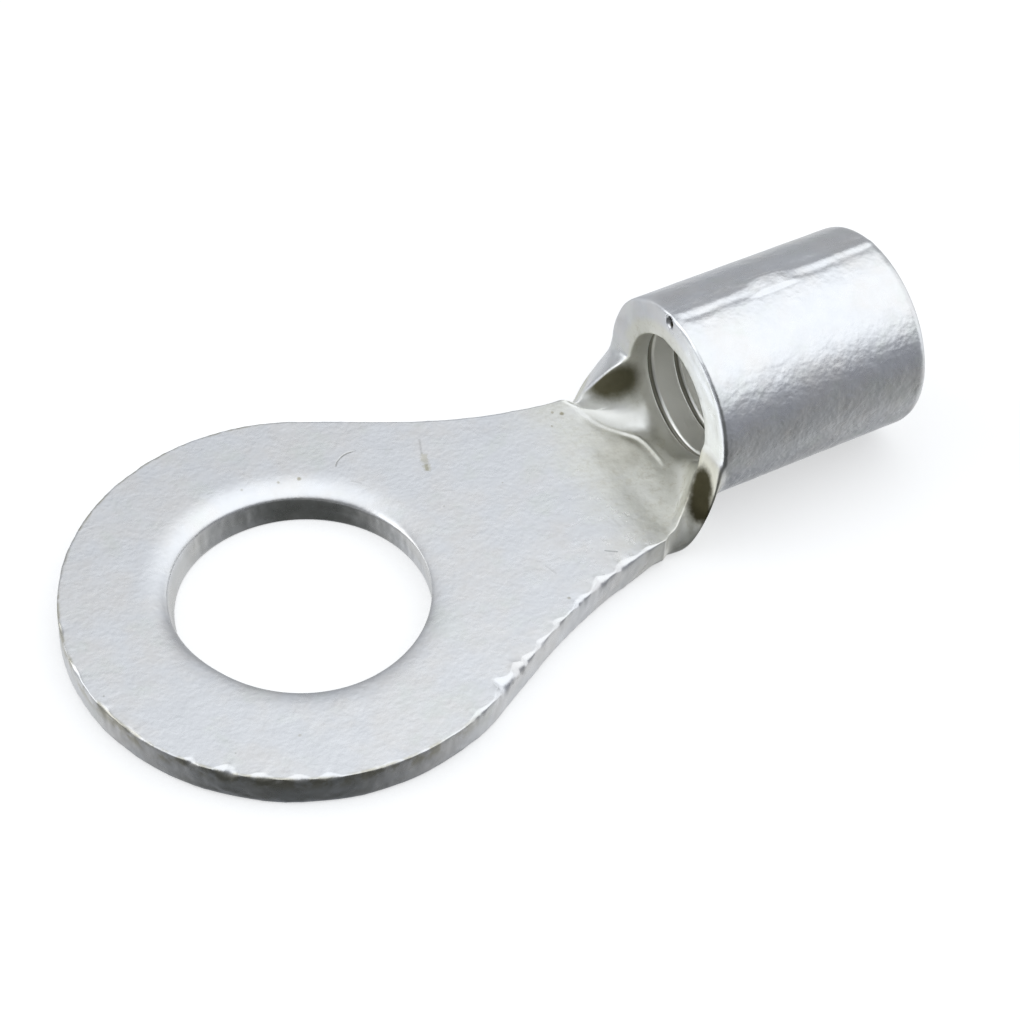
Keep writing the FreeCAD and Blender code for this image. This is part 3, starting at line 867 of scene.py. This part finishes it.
# painted shade: the inner face of the far ear is painted dark brown
far_ear_painted_shade = along((12.70, 2.54, 2.26), (13.10, 2.16, 2.60), 0.30, 0.94, 0.17, 1.8)
far_ear_painted_shade = maths("MULTIPLY", far_ear_painted_shade, maths("SUBTRACT", 1.0, ear_cut))
colour = mix(maths("MULTIPLY", far_ear_painted_shade, 0.94), colour, (0.13, 0.118, 0.060))
stain = around(12.15, 0.45, 1.2, 0.3, 1.25, 0.5, 1.4)
colour = mix(maths("MULTIPLY", stain, 0.55), colour, (0.62, 0.60, 0.52))
nick = around(11.16, -3.44, 0.95, 0.05, 0.14, 0.05, 6.0)
colour = mix(nick, colour, (0.17, 0.16, 0.11))
# painted shade: the pit in the seam at the barrel's front face is painted near-black
seam_pit_painted_shade = around(13.58, 0.27, 6.58, 0.16, 0.24)
colour = mix(seam_pit_painted_shade, colour, (0.02, 0.017, 0.010))

# marks on the tongue: a hair scratch, a brown smear, a few specks
scratch = stroke([(3.53, 4.28), (3.65, 4.42), (3.80, 4.53), (3.97, 4.60), (4.13, 4.63), (4.43, 4.61)], 0.030)
scratch = maths("MULTIPLY", scratch, ramp(noise(2.8, 2.0, 0.6, (1, 7, 7)), 0.35, 0.55, 0.25, 1.0))
colour = mix(maths("MULTIPLY", scratch, 0.62), colour, (0.33, 0.32, 0.28))
smear = stroke([(6.30, 3.36), (6.21, 3.04), (6.13, 2.77)], 0.13, 0.30)
smear = maths("MULTIPLY", smear, ramp(noise(2.2, 3.0, 0.7, (3, 3, 9)), 0.30, 0.60, 0.45, 1.0))
colour = mix(maths("MULTIPLY", smear, 0.42), colour, (0.50, 0.46, 0.30))
core = stroke([(6.17, 2.93), (6.11, 2.75)], 0.06, 0.10)
colour = mix(maths("MULTIPLY", core, 0.5), colour, (0.34, 0.32, 0.20))
for pts, half_w, amount in (([(6.54, 4.07), (6.30, 3.51)], 0.045, 0.30), ([(5.11, 4.30), (5.53, 4.11)], 0.030, 0.22),
                            ([(3.69, 3.43), (3.90, 3.22)], 0.035, 0.28), ([(7.39, -2.74), (7.52, -3.14)], 0.035, 0.22)):
    colour = mix(maths("MULTIPLY", stroke(pts, half_w, 0.06), amount), colour, (0.38, 0.38, 0.37))
tick = stroke([(9.40, -3.05), (9.72, -3.27)], 0.035, 0.04)
colour = mix(maths("MULTIPLY", tick, 0.6), colour, (0.35, 0.36, 0.35))
for (sx_, sy_, sr, amount) in ((2.22, 4.33, 0.07, 0.6), (1.55, 4.50, 0.05, 0.5), (0.35, 4.75, 0.05, 0.4),
                               (11.35, 2.95, 0.07, 0.7), (11.10, 3.15, 0.045, 0.5), (10.75, 2.60, 0.04, 0.5),
                               (7.35, -4.25, 0.05, 0.45), (-2.6, -5.2, 0.05, 0.3), (8.0, 1.1, 0.04, 0.3)):
    speck = maths("MULTIPLY", around(sx_, sy_, 1.15, sr * 0.5, sr * 1.5, 0.04, 6.0), amount)
    colour = mix(speck, colour, (0.30, 0.26, 0.14))
# pepper: very small dark pores in the plate
pore = node("ShaderNodeTexVoronoi")
link(mm, pore.inputs["Vector"])
pore.inputs["Scale"].default_value = 1.15
pore_m = maths("MULTIPLY", ramp(pore.outputs["Distance"], 0.018, 0.055, 1.0, 0.0),
               ramp(noise(0.9, 2.0, 0.6, (11, 4, 2)), 0.50, 0.62, 0.0, 0.5))
colour = mix(pore_m, colour, (0.40, 0.39, 0.34))

out = node("ShaderNodeOutputMaterial")
bsdf = node("ShaderNodeBsdfPrincipled")
bsdf.inputs["Metallic"].default_value = 1.0
link(colour, bsdf.inputs["Base Color"])
rough = maths("ADD", ramp(noise(1.7, 4.0, 0.65, (2, 9, 4)), 0.3, 0.7, 0.0, 0.10), 0.25)
rough = maths("ADD", rough, maths("MULTIPLY", warm, 0.03))
dull = maths("MULTIPLY", ramp(px, 10.8, 12.6), maths("MULTIPLY", ramp(pz, 1.45, 1.75, 1.0, 0.0), ramp(px, 13.2, 13.6, 1.0, 0.0)))
dull = maths("MULTIPLY", dull, ramp(py, 0.9, -0.2))
rough = maths("ADD", rough, maths("MULTIPLY", dull, 0.17))
rough = maths("ADD", rough, maths("MULTIPLY", inside, 0.10))
trough = maths("MULTIPLY", maths("MULTIPLY", ramp(px, 11.7, 12.3), ramp(px, 13.3, 13.9, 1.0, 0.0)), ramp(py, 0.7, 1.6))
rough = maths("ADD", rough, maths("MULTIPLY", maths("MULTIPLY", trough, maths("SUBTRACT", 1.0, ear_cut)), 0.28))
rough = maths("ADD", rough, maths("MULTIPLY", near_ear_dark_patch, 0.25))
link(rough, bsdf.inputs["Roughness"])

# orange-peel grain of the hot-dipped tin, coarser and stronger on the rolled barrel
on_barrel = maths("MULTIPLY", ramp(px, 13.2, 13.8), ramp(rad, 2.9, 3.2))
grain = noise(6.0, 1.0, 0.5, (1, 2, 3))
peel = noise(4.2, 1.6, 0.5, (4, 5, 6))
swell = noise(1.3, 2.0, 0.5, (9, 2, 8))
height = maths("ADD", maths("MULTIPLY", grain, 0.006), maths("MULTIPLY", peel, 0.009))
height = maths("ADD", height, maths("MULTIPLY", on_barrel, maths("ADD", maths("MULTIPLY", peel, 0.026),
                                                               maths("MULTIPLY", swell, 0.018))))
height = maths("SUBTRACT", height, maths("MULTIPLY", pore_m, 0.006))
height = maths("SUBTRACT", height, maths("MULTIPLY", scratch, 0.010))
bump = node("ShaderNodeBump")
bump.inputs["Strength"].default_value = 0.6
bump.inputs["Distance"].default_value = 0.001
link(height, bump.inputs["Height"])
link(bump.outputs[0], bsdf.inputs["Normal"])
link(bsdf.outputs[0], out.inputs[0])
mesh.materials.append(mat)

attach(body, "root")
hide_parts("terminal_body")

# ------------------------------------------------------------------ floor
fl = bpy.data.meshes.new("floor")
h = 1.2
fl.from_pydata([(-h, -h, -2e-5), (h, -h, -2e-5), (h, h, -2e-5), (-h, h, -2e-5)], [], [(0, 1, 2, 3)])
floor = bpy.data.objects.new("floor", fl)
bpy.context.scene.collection.objects.link(floor)
fm = bpy.data.materials.new("floor_white")
fm.use_nodes = True
fb = fm.node_tree.nodes["Principled BSDF"]
fb.inputs["Base Color"].default_value = (0.62, 0.62, 0.62, 1)
fb.inputs["Roughness"].default_value = 0.9
fb.inputs["Specular IOR Level"].default_value = 0.1
fb.inputs["Emission Color"].default_value = (1, 1, 1, 1)
fb.inputs["Emission Strength"].default_value = 0.50
fl.materials.append(fm)
floor.visible_glossy = False

# ------------------------------------------------------------------ studio surround
world = bpy.data.worlds.new("studio")
bpy.context.scene.world = world
world.use_nodes = True
nt = world.node_tree
nt.nodes.clear()
w_out = node("ShaderNodeOutputWorld")
w_bg = node("ShaderNodeBackground")
link(w_bg.outputs[0], w_out.inputs[0])
w_co = node("ShaderNodeTexCoord")
sep = node("ShaderNodeSeparateXYZ")
link(w_co.outputs["Generated"], sep.inputs[0])
dx, dy, dz = sep.outputs
# a large soft light overhead leaning to the front, smaller ones at the left behind and at the
# right, in a dim grey room; below the horizon the white table, falling dark on the side one looks from
lift = maths("ADD", maths("ADD", maths("MULTIPLY", dx, 0.25), maths("MULTIPLY", dy, -0.22)),
             maths("MULTIPLY", dz, 0.945))
key = ramp(lift, 0.40, 0.88)
flat_len = maths("SQRT", maths("ADD", maths("ADD", maths("MULTIPLY", dx, dx), maths("MULTIPLY", dy, dy)), 1e-4))
facing = maths("DIVIDE", maths("ADD", maths("MULTIPLY", dx, -0.536), maths("MULTIPLY", dy, -0.844)), flat_len)
back = ramp(dy, -0.75, 0.75)
room = mix(back, (0.265, 0.275, 0.305), (0.41, 0.425, 0.45))
room = mix(ramp(facing, 0.62, 0.98), room, (0.115, 0.12, 0.12))
sky = mix(key, room, (1.17, 1.21, 1.25))
side = maths("ADD", maths("ADD", maths("MULTIPLY", dx, -0.75), maths("MULTIPLY", dy, 0.45)),
             maths("MULTIPLY", dz, 0.485))
sky = mix(ramp(side, 0.80, 0.97), sky, (1.50, 1.54, 1.58))
wall_r = maths("ADD", maths("ADD", maths("MULTIPLY", dx, 0.985), maths("MULTIPLY", dy, -0.10)),
               maths("MULTIPLY", dz, 0.14))
wall_r = ramp(wall_r, 0.80, 0.95)
table_mix = node("ShaderNodeMapRange", interpolation_type="LINEAR")
link(facing, table_mix.inputs[0])
for i, v in enumerate((0.87, -0.42, 0.0, 1.0)):
    table_mix.inputs[1 + i].default_value = v
table = mix(table_mix.outputs[0], (0.070, 0.074, 0.072), (0.73, 0.745, 0.76))
# right under the piece the table is in its shadow
table = mix(ramp(dz, -0.95, -0.76, 0.92, 0.0), table, (0.185, 0.195, 0.21))
sky = mix(ramp(maths("MULTIPLY", dz, -1.0), 0.10, 0.40), sky, table)
sky = mix(wall_r, sky, (1.02, 1.05, 1.09))
link(sky, w_bg.inputs[0])
w_bg.inputs[1].default_value = 1.0

# ------------------------------------------------------------------ camera
AZ, EL, ROLL = math.radians(-32.43488), math.radians(46.52687), math.radians(3.4596457)
DIST, FOCAL_PX = 91.16248, 2771.39527
target = Vector((8.1842107, 0.8347943, 0.0))
back_v = Vector((math.sin(AZ) * math.cos(EL), -math.cos(AZ) * math.cos(EL), math.sin(EL)))
right = (-back_v).cross(Vector((0, 0, 1))).normalized()
upv = right.cross(-back_v).normalized()
R = math.cos(ROLL) * right + math.sin(ROLL) * upv
U = -math.sin(ROLL) * right + math.cos(ROLL) * upv
cam = bpy.data.cameras.new("camera")
cam.sensor_fit = "HORIZONTAL"
cam.sensor_width = 36.0
cam.lens = FOCAL_PX / 1020.0 * 36.0
cam.clip_start, cam.clip_end = 0.001, 10.0
cam_o = bpy.data.objects.new("camera", cam)
bpy.context.scene.collection.objects.link(cam_o)
pos = (target + back_v * DIST) * 1e-3
cam_o.matrix_world = Matrix((
    (R.x, U.x, back_v.x, pos.x), (R.y, U.y, back_v.y, pos.y), (R.z, U.z, back_v.z, pos.z), (0, 0, 0, 1)))
bpy.context.scene.camera = cam_o

bpy.context.scene.view_settings.view_transform = "Standard"
bpy.context.scene.view_settings.look = "None"
